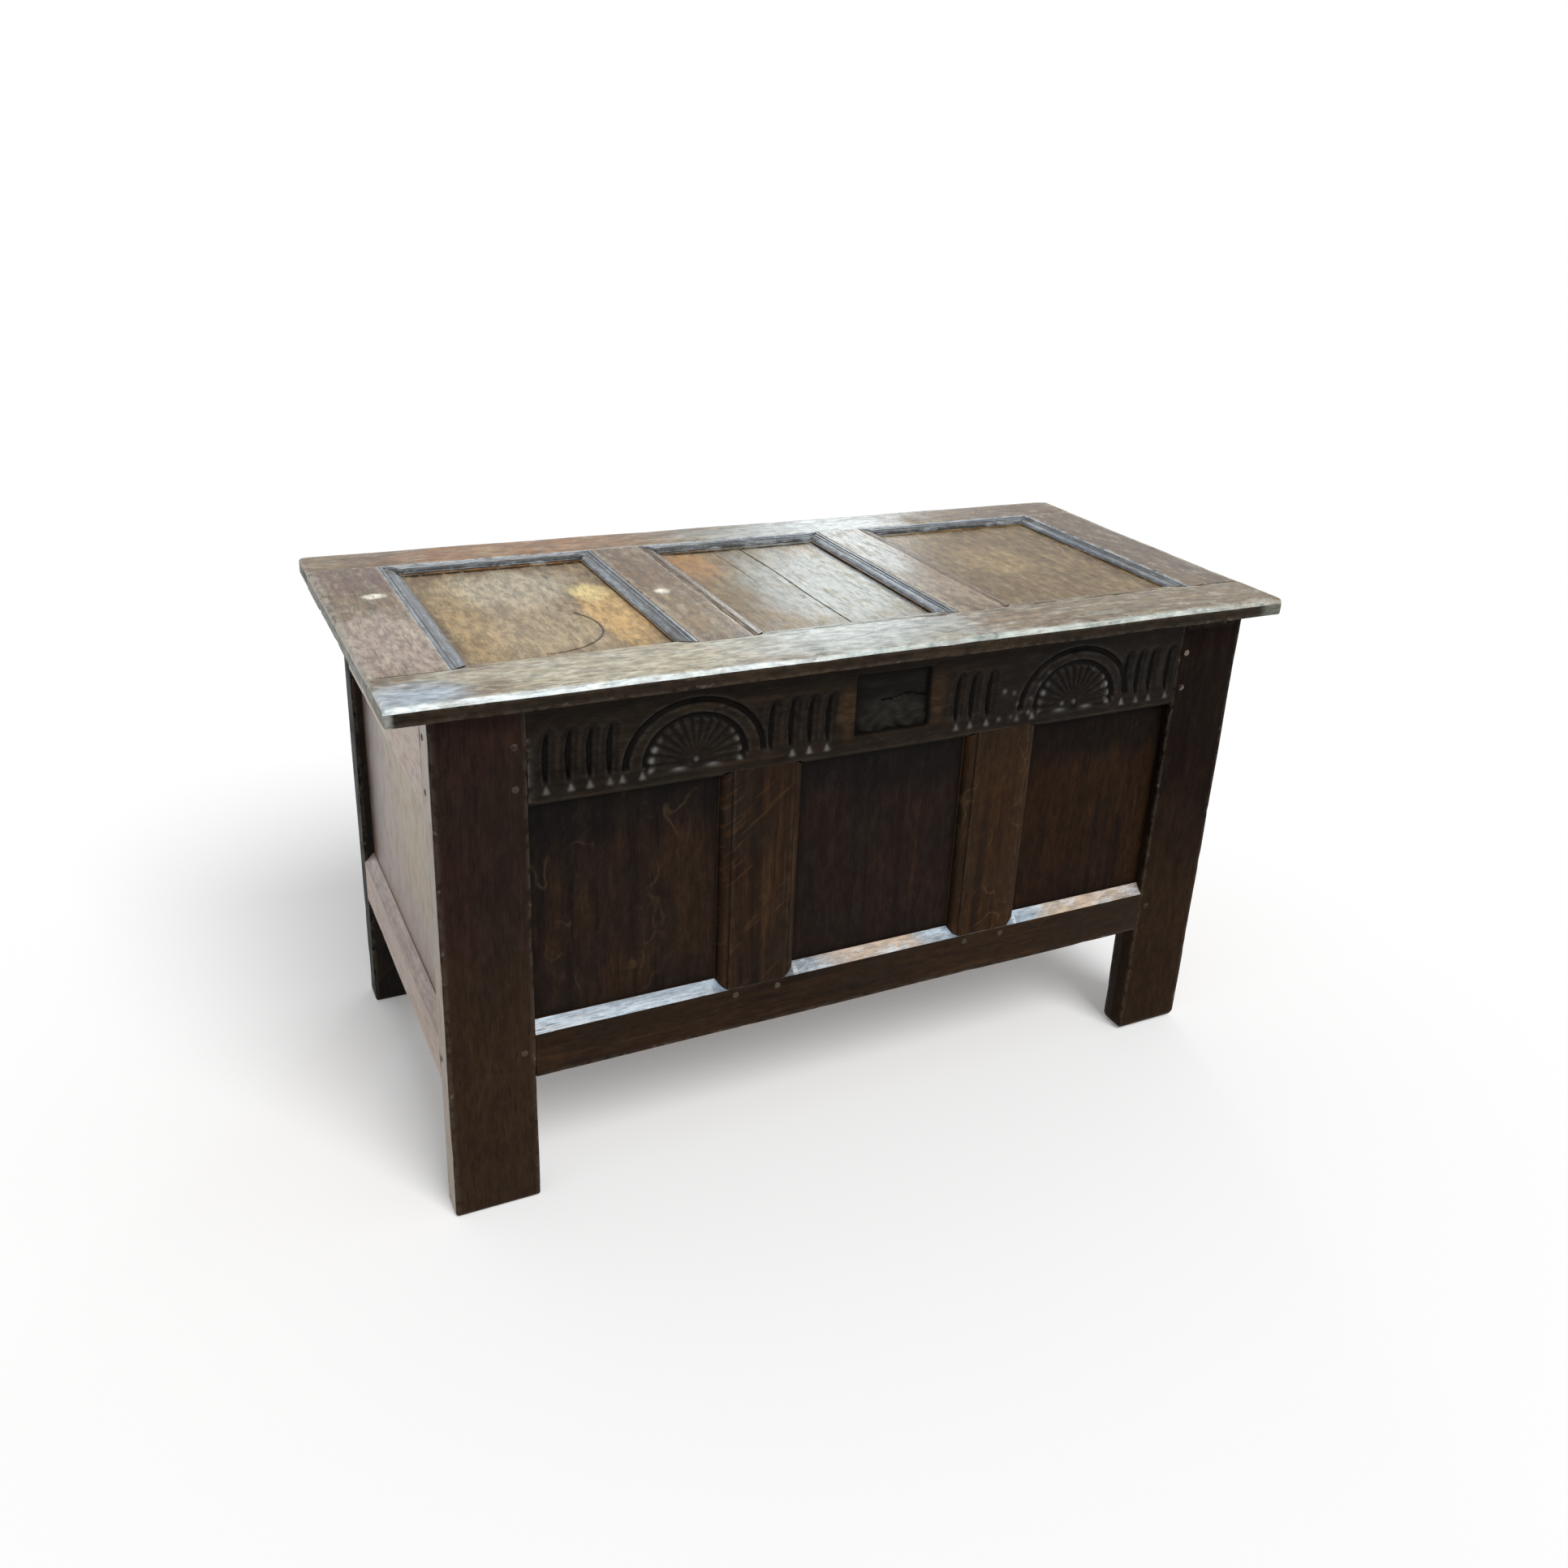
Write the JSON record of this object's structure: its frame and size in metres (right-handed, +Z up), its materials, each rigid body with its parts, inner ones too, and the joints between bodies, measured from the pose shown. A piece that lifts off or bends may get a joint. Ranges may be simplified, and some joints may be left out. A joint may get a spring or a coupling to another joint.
{
  "type": "panelled coffer",
  "caption": "Joined oak coffer on stile legs: panelled sides, a lunette-carved frieze, moulded muntins and a framed, panelled lid that opens on iron hinges at the back.",
  "frame": {"origin": "on the floor, under the middle of the closed coffer's outer box", "axes": "+X along the front to the viewer's right, +Y from the front to the back, +Z up"},
  "size_m": [1.246, 0.5956, 0.7058],
  "materials": {
    "dark_oak": "dark waxed oak",
    "warm_oak": "brown waxed oak",
    "panel_oak": "dark waxed oak, thin board",
    "worn_oak": "worn, rubbed oak",
    "bare_oak": "bare oak",
    "iron": "dark forged iron"
  },
  "bodies": {
    "carcase": {"front_left_stile": "dark_oak", "front_right_stile": "dark_oak", "front_bottom_rail": "dark_oak", "front_top_rail": "dark_oak", "front_left_muntin": "dark_oak", "front_right_muntin": "dark_oak", "front_left_panel": "panel_oak", "front_middle_panel": "panel_oak", "front_right_panel": "panel_oak", "rear_left_stile": "warm_oak", "rear_right_stile": "warm_oak", "rear_bottom_rail": "warm_oak", "rear_top_rail": "warm_oak", "rear_left_muntin": "warm_oak", "rear_right_muntin": "warm_oak", "rear_left_panel": "panel_oak", "rear_middle_panel": "panel_oak", "rear_right_panel": "panel_oak", "left_bottom_rail": "dark_oak", "left_top_rail": "dark_oak", "left_panel": "panel_oak", "right_bottom_rail": "dark_oak", "right_top_rail": "dark_oak", "right_panel": "panel_oak", "lock_patch": "panel_oak", "peg_left_top_lower": "warm_oak", "peg_left_top_upper": "warm_oak", "peg_left_bottom": "warm_oak", "peg_left_muntin_a": "warm_oak", "peg_left_muntin_b": "warm_oak", "peg_right_top_lower": "warm_oak", "peg_right_top_upper": "warm_oak", "peg_right_bottom": "warm_oak", "peg_right_muntin_a": "warm_oak", "peg_right_muntin_b": "warm_oak", "floor_board_1": "bare_oak", "floor_board_2": "bare_oak", "floor_board_3": "bare_oak", "floor_board_4": "bare_oak", "floor_board_5": "bare_oak", "left_hinge_body_leaf": "iron", "left_hinge_pin": "iron", "right_hinge_body_leaf": "iron", "right_hinge_pin": "iron"},
    "lid": {"lid_front_rail": "worn_oak", "lid_back_rail": "worn_oak", "lid_left_stile": "worn_oak", "lid_right_stile": "worn_oak", "lid_left_muntin": "worn_oak", "lid_right_muntin": "worn_oak", "lid_left_panel": "worn_oak", "lid_middle_panel": "worn_oak", "lid_right_panel": "worn_oak", "left_hinge_lid_leaf": "iron", "right_hinge_lid_leaf": "iron"}
  },
  "joints": [
    {"name": "lid_hinge", "type": "hinge", "parent": "carcase", "child": "lid", "pos_m": [0, 0.2928, 0.6823], "axis": [-1, 0, 0], "range_deg": [0, 100]}
  ]
}
